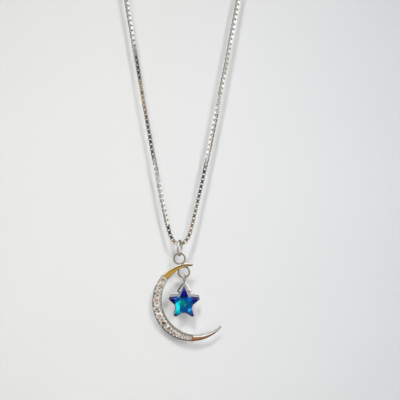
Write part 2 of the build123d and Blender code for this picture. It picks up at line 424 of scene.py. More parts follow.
def silver_finish(name, bright, tarnish, patch_scale, tarnish_from, rough, metallic=1.0):
    """Polished silver: soft patches of tarnish in the colour, fine wipe marks in the gloss, faint ripples."""
    finish, shader, tree = new_finish(name)
    spot = tree.add("ShaderNodeTexCoord").outputs["Object"]
    patches = tree.noise(spot, scale=patch_scale, detail=4.0, roughness=0.6)
    stops = [(0.0, bright), (tarnish_from, bright), (min(tarnish_from + 0.3, 1), tarnish)]
    tree.join(tree.ramp(patches, stops), shader.inputs["Base Color"])
    wipes = tree.noise(spot, scale=2600.0, detail=5.0, roughness=0.7)
    tree.join(tree.spread(wipes, *rough), shader.inputs["Roughness"])
    ripple = tree.noise(spot, scale=700.0, detail=2.0, roughness=0.5)
    bump = tree.add("ShaderNodeBump", strength=0.25, distance=0.00002)
    tree.join(ripple, bump.inputs["Height"])
    tree.join(bump.outputs["Normal"], shader.inputs["Normal"])
    shader.inputs["Metallic"].default_value = metallic
    return finish


# Painted sparkle of the clear stones: each facet is white, blush or smoky, tints that stand for glints and
# dark reflections, each from a share of all the facets upwards
STONE_PAINTED_SPARKLE = [
    (0.0, linear(255, 255, 255)),
    (0.4, linear(240, 224, 210)),
    (0.66, linear(196, 178, 162)),
    (0.87, linear(150, 136, 124)),
]

# Painted shade of a stone's table, which is where its normal's Y is under the limit: the facet that faces the
# front is darkened over the facets round it
TABLE_PAINTED_SHADE = linear(204, 192, 182)
TABLE_FACING = -0.95


def clear_stone_finish():
    """Clear cut stone: each facet, told apart by its own normal and place, is painted white, blush or smoky
    as painted sparkle, the table is painted a shade darker as painted shade, and it mirrors and refracts at
    once, with a barely frosted haze in patches."""
    finish, shader, tree = new_finish("clear_cut_stone")
    where = tree.add("ShaderNodeTexCoord")
    spot, normal = where.outputs["Object"], where.outputs["Normal"]
    steps = tree.vector("SCALE", normal, scale=5.0)
    cell = tree.vector("SCALE", spot, scale=900.0)
    whole = tree.vector("FLOOR", tree.vector("ADD", steps, cell))
    # painted sparkle: each facet draws white, blush or smoky at random
    lot = tree.add("ShaderNodeTexWhiteNoise")
    tree.join(whole, lot.inputs["Vector"])
    tint = tree.ramp(lot.outputs["Value"], STONE_PAINTED_SPARKLE, steps=True)
    # painted shade: the front-facing table is darkened
    table = tree.add("ShaderNodeMath", operation="LESS_THAN")
    tree.join(tree.part(normal, "Y"), table.inputs[0])
    table.inputs[1].default_value = TABLE_FACING
    shade = tree.add("ShaderNodeMix", data_type="RGBA", blend_type="MULTIPLY")
    tree.join(table.outputs["Value"], shade.inputs["Factor"])
    tree.join(tint, shade.inputs[6])
    shade.inputs[7].default_value = (*TABLE_PAINTED_SHADE, 1)
    tree.join(shade.outputs[2], shader.inputs["Base Color"])
    smoke = tree.noise(spot, scale=500.0, detail=2.0, roughness=0.5)
    tree.join(tree.spread(smoke, 0.0, 0.06), shader.inputs["Roughness"])
    shader.inputs["Metallic"].default_value = 0.2
    shader.inputs["Transmission Weight"].default_value = 0.15
    shader.inputs["IOR"].default_value = 1.9
    return finish


def coated_crystal_finish():
    """Blue coated crystal: each facet's tint, which holds both the crystal's colour and painted highlights
    and shade, shaded along the facet, under a hard clear gloss.
    """
    finish, shader, tree = new_finish("coated_blue_crystal")
    tint = tree.add("ShaderNodeAttribute", attribute_name="facet_tint")
    spot = tree.add("ShaderNodeTexCoord").outputs["Object"]
    depths = tree.noise(spot, scale=420.0, detail=3.0, roughness=0.5)
    shade = tree.spread(depths, 0.8, 1.15, from_min=0.3, from_max=0.7)
    shaded = tree.vector("SCALE", tint.outputs["Color"])
    tree.join(shade, shaded.node.inputs["Scale"])
    tree.join(shaded, shader.inputs["Base Color"])
    tree.join(tree.spread(depths, 0.04, 0.16), shader.inputs["Roughness"])
    shader.inputs["Metallic"].default_value = 0.1
    shader.inputs["Coat Weight"].default_value = 1.0
    shader.inputs["Coat Roughness"].default_value = 0.02
    shader.inputs["Coat IOR"].default_value = 1.54
    return finish


# Silvers: colour, tarnish, scale of its patches, share where it begins, least and most roughness
silver = silver_finish(
    "polished_silver", linear(253, 252, 250), linear(228, 222, 212), 260.0, 0.5, rough=(0.04, 0.12)
)
chain_silver = silver_finish(
    "chain_silver", linear(254, 253, 251), linear(236, 227, 208), 90.0, 0.5, rough=(0.08, 0.2)
)
warm_silver = silver_finish(
    "warm_silver", linear(240, 232, 214), linear(178, 166, 140), 420.0, 0.4, rough=(0.06, 0.16)
)
bead_silver = silver_finish(
    "bead_silver", linear(255, 253, 250), linear(244, 236, 226), 900.0, 0.5, rough=(0.24, 0.38), metallic=0.45
)
clear_stone = clear_stone_finish()
blue_crystal = coated_crystal_finish()


# Chain


def route_line():
    """Points along the smooth line of the chain, read from a NURBS spline over the route, in metres."""
    route = [(-x, rise) for x, rise in reversed(HALF_ROUTE)] + HALF_ROUTE
    curve = bpy.data.curves.new("chain_route", "CURVE")
    curve.dimensions = "3D"
    curve.resolution_u = 48
    spline = curve.splines.new("NURBS")
    spline.points.add(len(route) - 1)
    for point, (x, rise) in zip(spline.points, route):
        point.co = (x * MM, 0, rise * MM + ring_hinge[2], 1)
    spline.order_u = 3
    spline.use_endpoint_u = True
    holder = bpy.data.objects.new("chain_route", curve)
    line_mesh = bpy.data.meshes.new_from_object(holder)
    line = np.zeros(len(line_mesh.vertices) * 3)
    line_mesh.vertices.foreach_get("co", line)
    bpy.data.objects.remove(holder)
    bpy.data.curves.remove(curve)
    bpy.data.meshes.remove(line_mesh)
    return line.reshape(-1, 3)


def link_shape():
    """One link: a thin strip's section, six points, carried round the eight corners of a square with cut
    corners. Its last axis is along the chain, across the link and across the strip."""
    half_long, half_wide = LINK_PITCH / 2 + STRIP_THICKNESS + LINK_PLAY, LINK_WIDTH / 2
    corner = np.array([(half_long, half_wide - LINK_CORNER), (half_long - LINK_CORNER, half_wide)])
    signs = np.array([(1, 1), (-1, 1), (-1, -1), (1, -1)])
    outer = np.concatenate([(corner if k % 2 == 0 else corner[::-1]) * signs[k] for k in range(4)])
    step = 360 / len(outer)
    turns = np.radians(step / 2 + step * np.arange(len(outer)))
    out = np.stack([np.cos(turns), np.sin(turns)], -1) / math.cos(math.radians(step / 2))
    side, edge, thick = STRIP_WIDTH / 2, STRIP_EDGE, STRIP_THICKNESS
    section = [(0, edge - side), (0, side - edge), (-edge, side)]
    section += [(-thick, side), (-thick, -side), (-edge, -side)]
    section = np.array(section)
    flat = outer[:, None] + section[None, :, :1] * out[:, None]
    across = np.broadcast_to(section[None, :, 1:], (*flat.shape[:2], 1))
    return np.concatenate([flat, across], -1)


def box_chain():
    """Links set along the route at equal steps, each a quarter turn from the last, on a slow uneven twist,
    with a small lean of each link to and fro."""
    line = route_line()
    steps = np.linalg.norm(np.diff(line, axis=0), axis=1)
    along = np.concatenate([[0], np.cumsum(steps)])
    length = along[-1]
    count = round(length / (LINK_PITCH * MM))
    number = np.arange(count)
    where = (number + 0.5) * length / count
    reach = LINK_PITCH * MM / 2

    def at(distance):
        """Places at distances along the line."""
        return np.stack([np.interp(distance, along, line[:, k]) for k in range(3)], -1)

    centre = at(where)
    tangent = at(where + reach) - at(where - reach)
    tangent /= np.linalg.norm(tangent, axis=1, keepdims=True)
    aside = np.cross(tangent, FRONT)
    from_bottom = (where - length / 2) / MM
    twist = np.radians(np.interp(from_bottom, *zip(*CHAIN_TWIST)))
    twist += LINK_WOBBLE * (np.sin(number * WOBBLE_WAVES[0]) + np.sin(number * WOBBLE_WAVES[1]))
    turn = twist + number * math.pi / 2
    wide = np.cos(turn)[:, None] * aside + np.sin(turn)[:, None] * FRONT
    thin = np.cross(tangent, wide)
    link = link_shape()
    shape = link.reshape(-1, 3) * MM
    points = (
        centre[:, None]
        + shape[None, :, :1] * tangent[:, None]
        + shape[None, :, 1:2] * wide[:, None]
        + shape[None, :, 2:] * thin[:, None]
    )
    quads = grid_quads(*link.shape[:2], True, True)
    faces = (quads[None] + (number * len(shape))[:, None, None]).reshape(-1, 4)
    chain = add_piece("box_chain", points, faces, "chain", chain_silver, "silver")
    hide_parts("chain")


# Crescent

moon_low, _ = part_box("moon")
moon_centre = np.array([moon_low.x + MOON_RADIUS * MM, 0, moon_low.z + MOON_RADIUS * MM])
hollow_shift = (
    MOON_WIDTH
    * (2 * MOON_RADIUS - MOON_WIDTH)
    / (2 * (MOON_RADIUS * (1 + math.cos(math.radians(HORN_ANGLE))) - MOON_WIDTH))
)
hollow_radius = MOON_RADIUS + hollow_shift - MOON_WIDTH


def hollow_edge(turn):
    """Distance from the outer circle's centre to the hollow's circle at turns in degrees."""
    lag = np.radians(turn - MOON_LEAN)
    return hollow_shift * np.cos(lag) + np.sqrt(hollow_radius**2 - (hollow_shift * np.sin(lag)) ** 2)


def straight_edge(turn, start_turn, start_radius, end_turn, end_radius):
    """Distance from the centre to a straight line between two points given by turn and distance."""
    whole = math.sin(math.radians(end_turn - start_turn))
    part = np.sin(np.radians(turn - start_turn)) / end_radius
    rest = np.sin(np.radians(end_turn - turn)) / start_radius
    return whole / (part + rest)


stone_names = sorted(name for name in frame["nodes"] if name.startswith("stone_"))


def stone_seats():
    """Turn from the crescent's centre, place and radius in mm of each stone, read from the stones' boxes."""
    found = []
    for name in stone_names:
        low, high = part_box(name)
        middle = (np.array(low) + np.array(high)) / 2 - moon_centre
        x, z = middle[0] / MM, middle[2] / MM
        turn = math.degrees(math.atan2(z, x)) % 360
        found.append((turn, x, z, (MOON_RADIUS - float(hollow_edge(turn))) / 2 - RIM))
    return found


seats = stone_seats()
row_from, row_to = seats[0][0] - ROW_MARGIN, seats[-1][0] + ROW_MARGIN


def crescent_rings():
    """Cross-sections of the crescent from tip to tip. It is a bar whose width follows the two circles and the
    cut tips and whose depth thins to the horns. Its polished arms are chamfered and barely crowned, and along
    the row of stones its front is sunk between two rims."""
    slant_end = UPPER_TIP + INNER_SLANT
    turn = np.unique(
        np.concatenate(
            [
                np.linspace(UPPER_TIP + TIP_MARGIN, slant_end + SLANT_MARGIN, TIP_SECTIONS),
                np.linspace(slant_end + SLANT_MARGIN, LOWER_TIP, ARM_SECTIONS),
                [row_from - CHANNEL_END, row_from, row_to, row_to + CHANNEL_END],
            ]
        )
    )
    outer = np.full_like(turn, MOON_RADIUS)
    inner = hollow_edge(turn)
    tip_radius = MOON_RADIUS - UPPER_TIP_INSET
    tip_top, tip_foot = tip_radius + UPPER_TIP_WIDTH / 2, tip_radius - UPPER_TIP_WIDTH / 2
    cut = turn < UPPER_TIP + OUTER_SLANT
    outer[cut] = straight_edge(turn[cut], UPPER_TIP, tip_top, UPPER_TIP + OUTER_SLANT, MOON_RADIUS)
    cut = turn < slant_end
    inner[cut] = straight_edge(turn[cut], UPPER_TIP, tip_foot, slant_end, float(hollow_edge(slant_end)))
    width = outer - inner
    along = MOON_RADIUS * np.cos(np.radians(turn - MOON_LEAN))
    thin_from = MOON_RADIUS * math.cos(math.radians(row_to - ROW_MARGIN - MOON_LEAN))
    half = np.interp(along, [thin_from, MOON_RADIUS], [MOON_HALF, TIP_HALF])
    bevel = np.minimum(BEVEL, BEVEL_SHARE * width)
    soft_in, soft_drop = BEVEL_IN * bevel, BEVEL_DROP * bevel
    chamfer = np.minimum(CHAMFER, CHAMFER_SHARE * width)
    in_row = (turn >= row_from) & (turn <= row_to)
    lip = np.where(in_row, np.minimum(RIM, RIM_SHARE * width), CHAMFER_LIP * chamfer)
    edge_drop = np.where(in_row, bevel + ROW_DROP, chamfer)
    half_in = np.where(in_row, soft_in + ROW_CORNER, CHAMFER_MIDDLE * chamfer)
    half_drop = np.where(in_row, soft_drop, CHAMFER_MIDDLE * chamfer)
    edge_in = np.where(in_row, ROW_LIP_SHARE * lip - ROW_DROP, chamfer)
    slope = in_row * RIM_SLOPE
    floor = half - np.where(in_row, CHANNEL_DEPTH, -CROWN)
    floor_in = lip + np.where(in_row, 0, CROWN_SHARE * (width - 2 * lip))
    corners = [
        (outer, bevel - half),
        (outer, half - edge_drop),
        (outer - half_in, half - half_drop),
        (outer - edge_in, half),
        (outer - lip, half - slope),
        (outer - floor_in, floor),
        (inner + floor_in, floor),
        (inner + lip, half - slope),
        (inner + edge_in, half),
        (inner + half_in, half - half_drop),
        (inner, half - edge_drop),
        (inner, bevel - half),
        (inner + soft_in, soft_drop - half),
        (inner + bevel, -half),
        (outer - bevel, -half),
        (outer - soft_in, soft_drop - half),
    ]
    radius = np.stack([r for r, _ in corners], 1)
    depth = np.stack([d for _, d in corners], 1)
    flat = on_circle(radius, np.broadcast_to(turn[:, None], radius.shape))
    return place(flat, depth, moon_centre)


def seat_cutters():
    """Tapered plugs in the shape of the stones' seats: a circle carried down a profile, from above the girdle
    to a hole through the back."""
    parts = []
    girdle = MOON_HALF - GIRDLE_DEPTH
    u = np.linspace(0, 360, 32, endpoint=False)
    for _, x, z, radius in seats:
        rings = []
        for share, rise in SEAT_PROFILE:
            flat = on_circle(share * radius + STONE_GAP, u) + np.array([x, z])
            rings.append(place(flat, np.full(len(u), girdle + rise * radius), moon_centre))
        parts.append(capped_tube(np.stack(rings)))
    return joined(parts)


def crescent():
    """The crescent's bar with closed tips and a seat cut under every stone."""
    piece = add_piece("crescent", *capped_tube(crescent_rings()), "moon", silver, "silver")
    outward(piece.data)
    cutter_points, cutter_faces = seat_cutters()
    cutter_mesh = bpy.data.meshes.new("seat_cutters")
    cutter_mesh.from_pydata(cutter_points.tolist(), [], cutter_faces)
    outward(cutter_mesh)
    cutter = bpy.data.objects.new("seat_cutters", cutter_mesh)
    bpy.context.scene.collection.objects.link(cutter)
    cut = piece.modifiers.new("seats", "BOOLEAN")
    cut.operation, cut.object, cut.solver = "DIFFERENCE", cutter, "EXACT"
    bpy.context.view_layer.update()
    graph = bpy.context.evaluated_depsgraph_get()
    mesh = bpy.data.meshes.new_from_object(piece.evaluated_get(graph))
    piece.modifiers.clear()
    piece.data = mesh
    soften(mesh, 30)
    bpy.data.objects.remove(cutter)
    return piece


def bead_prongs():
    """Small domed beads on both sides of the point where two stones meet, each a quarter-round profile
    carried round a circle."""
    parts = []
    u = np.linspace(0, 360, 14, endpoint=False)
    root = MOON_HALF - CHANNEL_DEPTH - BEAD_ROOT
    for (_, ax, az, ar), (_, bx, bz, br) in zip(seats, seats[1:]):
        bead = BEAD_SHARE * (ar + br) / 2
        aside = BEAD_ASIDE * (ar + br) / 2
        gap = math.hypot(bx - ax, bz - az)
        along = (gap + ar - br) / 2
        ux, uz = (bx - ax) / gap, (bz - az) / gap
        for side in (-1, 1):
            spot = np.array([ax + ux * along - side * uz * aside, az + uz * along + side * ux * aside])
            rings = [place(on_circle(bead, u) + spot, np.full(len(u), root), moon_centre)]
            for lift in np.radians(BEAD_LIFTS):
                flat = on_circle(bead * math.cos(lift), u) + spot
                height = MOON_HALF + BEAD_DOME * bead * math.sin(lift)
                rings.append(place(flat, np.full(len(u), height), moon_centre))
            parts.append(capped_tube(np.stack(rings)))
    piece = add_piece("bead_prongs", *joined(parts), "moon", bead_silver, "silver")
    outward(piece.data)
    soften(piece.data, 45)


def turned_aside(degrees):
    """Direction from front to back, turned about the vertical."""
    turn = math.radians(degrees)
    return np.array([math.sin(turn), math.cos(turn), 0])


def rings_and_loops():
    """Bail ring on the chain, and the two loops soldered outside and inside the crescent's upper arm."""
    ring_mid = (RING_HOLE + RING_WIRE) / 2
    ring_centre = moon_hinge + np.array([0, 0, ring_mid * MM])
    wire = (RING_WIRE - RING_POLISH) / 2
    shape = round_ring(ring_centre, turned_aside(RING_TURN), UP, ring_mid, wire)
    ring = add_piece("jump_ring", *shape, "bail_ring", silver, "silver")
    soften(ring.data, 35)
    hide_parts("bail_ring")
    loop_mid = (LOOP_HOLE + LOOP_WIRE) / 2
    hang = (RING_WIRE + LOOP_WIRE) / 2 + HANGING_GAP
    upper = moon_hinge + np.array([0, 0, (hang - loop_mid) * MM])
    lower = bail_hinge + np.array([STAR_LOOP_ASIDE * MM, 0, loop_mid * MM])
    for name, centre in (("hanging_loop", upper), ("star_loop", lower)):
        shape = round_ring(centre, RIGHT, UP, loop_mid, LOOP_WIRE / 2)
        loop = add_piece(name, *shape, "moon", warm_silver, "silver")
        soften(loop.data, 35)


def star_bail():
    """Pinch bail: an eye, a short neck, and two legs that bow out and turn in to a pin at the foot."""
    eye_mid = (EYE_HOLE + EYE_WIRE) / 2
    eye_rise = (LOOP_WIRE + EYE_WIRE) / 2 + HANGING_GAP - eye_mid
    eye_centre = bail_hinge + np.array([0, 0, eye_rise * MM])
    parts = [round_ring(eye_centre, turned_aside(EYE_TURN), UP, eye_mid, EYE_WIRE / 2, 48, 14)]
    neck = np.zeros((8, 3))
    neck[:, 2] = np.linspace(eye_rise - eye_mid, NECK_FOOT, len(neck))
    radii = np.linspace(*NECK_RADII, len(neck)) * MM
    parts.append(swept_wire(bail_hinge + neck * MM, radii, -FRONT))
    pin_line = np.array([0, float(star_hinge[2] - bail_hinge[2]) / MM])
    for side, lean in zip((-1, 1), LEG_LEANS):
        mirror = np.array([side, 1])
        spots = (LEG_CORNER, LEG_HEEL, LEG_FOOT, PIN_END)
        corner, heel, foot, pin = (mirror * spot + pin_line for spot in spots)
        down = bowed(mirror * LEG_START, mirror * LEG_BOW, corner, 26)
        flat = np.concatenate([down, bowed(corner, heel, foot, 8)[1:], pin[None]])
        path = bail_hinge + MM * (flat[:, :1] * RIGHT + flat[:, 1:] * UP)
        parts.append(swept_strap(path, LEG_WIDTH * MM, LEG_THICKNESS * MM, FRONT, lean))
    piece = add_piece("pinch_bail", *joined(parts), "star_bail", silver, "silver")
    outward(piece.data)
    soften(piece.data, 35)
    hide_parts("star_bail")


# Crystal star

TINTS = {
    "ink": linear(8, 0, 70),
    "indigo": linear(0, 0, 108),
    "violet": linear(30, 16, 150),
    "navy": linear(4, 22, 110),
    "slate": linear(52, 62, 124),
    "steel": linear(120, 140, 184),
    "periwinkle": linear(66, 110, 214),
    "deep": linear(0, 74, 132),
    "petrol": linear(0, 88, 142),
    "azure": linear(0, 100, 190),
    "sky": linear(64, 170, 226),
    "cyan": linear(22, 240, 244),
    "aqua": linear(10, 196, 220),
    "teal": linear(0, 116, 150),
    "sea": linear(0, 134, 122),
    "green": linear(0, 146, 104),
    "mint": linear(30, 152, 126),
    "mist": linear(100, 160, 176),
    "dusk": linear(74, 66, 104),
    "lilac": linear(192, 184, 198),
    "painted_glint": linear(240, 240, 250),
    "olive": linear(56, 50, 14),
}

# Glows in the front facets, as mm right of and above the star's centre. A facet has the nearest one's tint.
# The tints are the crystal's blue, violet and green together with painted light: the sky facets are painted
# highlights, and lighter and darker facets of one blue stand for light and shade at one angle.
FRONT_PAINTED_GLOWS = {
    "indigo": [(-0.5, 3.6), (-0.5, 2.8), (0.2, 3.45), (-0.2, 3.45), (0.75, 2.9), (0.6, 3.6)],
    "violet": [(0.0, 3.0), (0.0, 2.3)],
    "ink": [(-0.4, 2.0), (0.55, 2.1), (-2.6, 0.7), (-3.4, 1.05), (-2.3, -3.2), (2.1, -2.8)],
    "navy": [(0.1, 1.75), (-1.9, 1.0), (-2.9, 1.5), (2.2, 0.75), (3.0, 0.9)],
    "petrol": [(-0.6, 1.5), (0.1, -0.9), (-0.5, -1.2), (0.9, 0.3), (1.75, -2.2)],
    "azure": [(0.75, 1.5), (1.4, 1.6), (1.4, 0.95), (-2.05, 0.35), (2.1, -1.9), (1.2, -1.35)],
    "deep": [(0.4, 1.15), (-1.5, 1.3), (-1.3, 0.85), (-0.85, -1.9), (0.5, 0.5), (0.3, -1.2)]
    + [(0.9, -0.6), (1.75, 0.35), (1.7, -0.7), (0.9, -2.1)],
    "periwinkle": [(-2.2, 1.45)],
    "aqua": [(-1.3, 0.55), (-1.35, -2.1)],
    "cyan": [(-1.75, 0.1), (-1.6, -0.8), (-1.6, -1.7)],
    "sea": [(-0.6, 0.45)],
    "green": [(-0.05, 0.3)],
    "mint": [(0.42, -0.45)],
    "teal": [(-0.75, -0.5)],
    "slate": [(2.8, 1.3)],
    "dusk": [(3.6, 1.2)],
    "sky": [(1.75, -1.5), (1.3, -1.75)],
}

# Straight edges of the back facets seen through the front, each between two points in mm from the centre
SEEN_EDGES = [
    ((-1.1, 1.1), (-1.1, -2.3)),
    ((-2.3, 0.0), (-1.1, 1.1)),
    ((-1.0, 0.75), (2.6, 0.6)),
    ((0.75, 0.7), (0.1, -1.0)),
    ((1.0, -2.0), (2.2, -0.9)),
    ((1.35, -2.3), (2.4, -1.3)),
    ((-1.1, -0.75), (1.6, -0.75)),
]

# Tints of the bevel and of the walls round each arm, anticlockwise from the top arm: the blunt tip, the edge
# down to the valley, the valley and the edge up to the next tip. Like the front, they are the crystal's
# colour with painted light: the same edge is lighter or darker on each arm as light falls on it.
BEVEL_TINTS = [
    ("indigo", "steel", "mist", "indigo"),
    ("ink", "ink", "mist", "mist"),
    ("ink", "navy", "navy", "navy"),
    ("ink", "navy", "azure", "navy"),
    ("dusk", "navy", "steel", "indigo"),
]
BACK_TINTS = ("navy", "deep", "petrol", "azure")

# Bevel edges whose outer half is painted pale as a painted glint, as arm and edge numbers
PAINTED_GLINT_EDGES = [(3, 1), (3, 2), (3, 3), (4, 3)]


def star_outline(scale, depth):
    """Corner points of the star's outline at one depth: two at each blunt tip, two at each cut valley."""
    points = []
    half_tip = math.degrees(TIP_WIDTH / 2 / STAR_RADIUS)
    cut = VALLEY_CUT * VALLEY_RADIUS / STAR_RADIUS
    for arm in range(ARMS):
        tip_turn = FIRST_ARM + ARM_STEP * arm
        points += [on_circle(STAR_RADIUS * scale, tip_turn + side * half_tip) for side in (-1, 1)]
        valley = on_circle(VALLEY_RADIUS * scale, tip_turn + ARM_STEP / 2)
        for turn in (tip_turn, tip_turn + ARM_STEP):
            tip = on_circle(STAR_RADIUS * scale, turn)
            points.append(valley + cut * (tip - valley))
    flat = np.array(points)
    return np.concatenate([flat, np.full((len(flat), 1), depth)], 1)


def front_height(flat):
    """Depth of the star's cut front: highest in the middle, falling with the square of the distance."""
    return STAR_FRONT - FRONT_FALL * np.sum(flat**2, -1) / STAR_RADIUS**2


def front_facets():
    """Front of the star inside its bevel: two rings of points between the middle and the outline, joined by
    triangles, and on each arm a narrow kite that runs out to the tip, all cut along the edges seen through
    from the back."""
    table = star_outline(TABLE_SHARE, 0)[:, :2]
    centre = np.zeros(2)
    facets = []
    for arm in range(ARMS):
        turn = FIRST_ARM + ARM_STEP * arm
        tip_r, tip_l, valley_l, valley_next = (table[4 * arm + k] for k in range(4))
        valley_r = table[4 * arm - 1]
        tip = (tip_r + tip_l) / 2
        valley = (valley_l + valley_next) / 2
        inner_r, inner_l = (on_circle(CORE_RADIUS, turn + side * ARM_STEP / 2) for side in (-1, 1))
        inner = on_circle(CORE_IN_ARM, turn)
        mid_r, mid_l = (on_circle(MID_RADIUS, turn + side * MID_TURN) for side in (-1, 1))
        next_mid_r = on_circle(MID_RADIUS, turn + ARM_STEP - MID_TURN)
        ridge = on_circle(RIDGE_RADIUS, turn)
        kite_r, kite_l = (on_circle(KITE_RADIUS, turn + side * KITE_TURN) for side in (-1, 1))
        facets += [
            [centre, inner_r, inner],
            [centre, inner, inner_l],
            [inner, inner_r, mid_r],
            [inner, mid_r, ridge],
            [inner, ridge, mid_l],
            [inner, mid_l, inner_l],
            [mid_r, valley_r, kite_r],
            [mid_r, kite_r, ridge],
            [ridge, kite_r, kite_l],
            [ridge, kite_l, mid_l],
            [mid_l, kite_l, valley_l],
            [kite_r, valley_r, tip_r],
            [kite_r, tip_r, tip],
            [kite_r, tip, kite_l],
            [kite_l, tip, tip_l],
            [kite_l, tip_l, valley_l],
            [inner_l, mid_l, valley],
            [mid_l, valley_l, valley],
            [inner_l, valley, next_mid_r],
            [next_mid_r, valley, valley_next],
        ]
    flat = np.array(facets).reshape(-1, 2)
    sheet = bpy.data.meshes.new("front_sheet")
    corners = np.column_stack([flat, front_height(flat)])
    sheet.from_pydata(corners.tolist(), [], np.arange(len(flat)).reshape(-1, 3).tolist())
    work = bmesh.new()
    work.from_mesh(sheet)
    bpy.data.meshes.remove(sheet)
    for start, end in np.array(SEEN_EDGES):
        normal = (start[1] - end[1], end[0] - start[0], 0)
        along = (end - start) / np.linalg.norm(end - start)
        crossed = set()
        for face in work.faces:
            reach = float(np.dot(np.array(face.calc_center_median())[:2] - start, along))
            if 0 <= reach <= np.linalg.norm(end - start):
                crossed.update([face, *face.edges, *face.verts])
        bmesh.ops.bisect_plane(work, geom=list(crossed), plane_co=(*start, 0), plane_no=normal, dist=1e-5)
    cut = [np.array([corner.co for corner in face.verts]) for face in work.faces]
    work.free()
    return cut


def crystal_star():
    """Star of flat facets: the cut front, a bevel, walls in two bands and a back run in to a small flat."""
    faces = front_facets()
    # the front facets take the crystal's colour with painted highlights and shade from the nearest glow
    glows = [(*spot, tint) for tint, spots in FRONT_PAINTED_GLOWS.items() for spot in spots]
    glow_places = np.array([(x, y) for x, y, _ in glows])
    middles = np.array([facet.mean(0)[:2] for facet in faces])
    nearest = np.linalg.norm(middles[:, None] - glow_places, axis=-1).argmin(1)
    tints = [TINTS[glows[k][2]] for k in nearest]
    table = star_outline(TABLE_SHARE, 0)
    table[:, 2] = front_height(table[:, :2])
    brow = star_outline(BROW_SHARE, STAR_FRONT - FRONT_FALL - BROW_DROP * STAR_BEVEL)
    wall_top, wall_foot = STAR_FRONT - STAR_BEVEL, STAR_BEVEL - STAR_BACK
    rings = [
        table,
        brow,
        star_outline(1, wall_top),
        star_outline(1, wall_foot + WALL_BAND * (wall_top - wall_foot)),
        star_outline(1, wall_foot),
        star_outline(BACK_TABLE_SHARE, -STAR_BACK),
    ]
    for arm in range(ARMS):
        for k in range(4):
            i, j = 4 * arm + k, (4 * arm + k + 1) % len(table)
            bevel = [table[i], brow[i], brow[j], table[j]]
            if k in (0, 2):
                middle = (table[i] + table[j]) / 2
                middle[2] = front_height(middle[:2])
                bevel.append(middle)
            faces.append(np.array(bevel))
            tints.append(TINTS[BEVEL_TINTS[arm][k]])
            # painted highlight: the listed edges get a pale tint on the outer half of their bevel
            rim_tint = "painted_glint" if (arm, k) in PAINTED_GLINT_EDGES else BEVEL_TINTS[arm][k]
            for level, tint in enumerate((rim_tint, "lilac", "olive", BACK_TINTS[k]), 1):
                outer, inner = rings[level], rings[level + 1]
                faces.append(np.array([outer[i], inner[i], inner[j], outer[j]]))
                tints.append(TINTS[tint])
    faces.append(rings[-1][::-1])
    tints.append(TINTS["azure"])
    points = np.concatenate(faces)
    star_centre = star_hinge + np.array([0, 0, (PIN_BELOW_TIP - STAR_RADIUS) * MM])
    placed = place(points[:, :2], points[:, 2], star_centre)
    starts = np.cumsum([0] + [len(f) for f in faces])
    face_rows = [list(range(a, b)) for a, b in zip(starts, starts[1:])]
    piece = add_piece("crystal_star", placed, face_rows, "star", blue_crystal, "blue_crystal")
    colours = np.repeat(np.array([(*t, 1) for t in tints]), [len(f) for f in faces], axis=0)
    layer = piece.data.attributes.new("facet_tint", "FLOAT_COLOR", "CORNER")
    layer.data.foreach_set("color", colours.astype(np.float32).ravel())
    outward(piece.data)
    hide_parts("star")


# Stage, in metres: a pale wall behind, a pale floor below, two windows, two lamps near the camera, and cards
# that the polished metal mirrors

# What the metal mirrors from the front of the room to the back: dark round the camera, a white tent elsewhere
ROOM_FRONT_TO_BACK = [
    (0.0, (0.062, 0.06, 0.064)),
    (0.08, (0.045, 0.042, 0.038)),
    (0.15, (0.5, 0.5, 0.48)),
    (0.22, (0.95, 0.95, 0.94)),
    (0.5, (0.85, 0.85, 0.84)),
    (0.62, (0.2, 0.19, 0.16)),
    (0.955, (0.2, 0.19, 0.16)),
    (1.0, (0.65, 0.65, 0.64)),
]
ROOM_BELOW_TO_ABOVE = [
    (0.0, (0.35, 0.34, 0.32)),
    (0.35, (0.7, 0.69, 0.68)),
    (0.6, (1.0, 1.0, 1.0)),
    (1.0, (1.3, 1.3, 1.3)),
]

# Share of the room's brightness that lights matt surfaces, and the pale grey seen past the wall
ROOM_FILL = 0.09
ROOM_SEEN = linear(228, 228, 226)

# Cards in front, out of sight, that are mirrored in flat faces: name, span of x, span of z, and the glow at
# the lower edge, halfway and at the upper edge. The first two colour the crescent's arms, the next two a
# stretch of chain each.
CARD_Y = -0.135
MIRROR_CARDS = [
    (
        "gold_card",
        (-0.022, 0.006),
        (-0.2368, -0.2185),
        (linear(200, 164, 84), linear(182, 146, 52), linear(126, 98, 46)),
    ),
    (
        "bronze_card",
        (-0.003, 0.03),
        (-0.285, -0.256),
        (linear(130, 88, 46), linear(158, 108, 66), linear(178, 134, 92)),
    ),
    (
        "chain_card_low",
        (-0.006, 0.012),
        (-0.2135, -0.186),
        (linear(176, 154, 98), linear(156, 134, 98), linear(130, 110, 96)),
    ),
    (
        "chain_card_high",
        (-0.05, -0.02),
        (-0.138, -0.112),
        (linear(130, 104, 84), linear(168, 142, 94), linear(196, 170, 104)),
    ),
]

# Windows: name, place, size and watts
WINDOWS = [
    ("left_window", (-0.45, -0.55, 0.05), 0.5, 0.11),
    ("right_window", (0.55, -0.45, -0.1), 0.4, 0.07),
]

# Small lamps near the camera that throw the pendant's two soft shadows on the wall: name, metres to the
# camera's right and above it, and watts. They stand back from the camera by the factor.
NEAR_LAMPS = [("lamp_right", (0.009, 0.009), 0.22), ("lamp_upper_left", (-0.004, 0.019), 0.232)]
NEAR_LAMP_SIZE = 0.011
LAMP_RETREAT = 2.0

CAMERA_PLACE = (0.00558, -0.1174, -0.1863)
CAMERA_LENS = 37.74
CAMERA_ROLL = 0.6
PENDANT = np.array([0.002, 0, -0.212])

PAINT = linear(240, 240, 238)
CLOUD_SHADE = 0.97
WALL_BEHIND = 0.03
WALL_SIDE = 1.2
WALL_TOP = 1.0
FLOOR_BELOW = -0.3
FLOOR_SIDE = 2.0

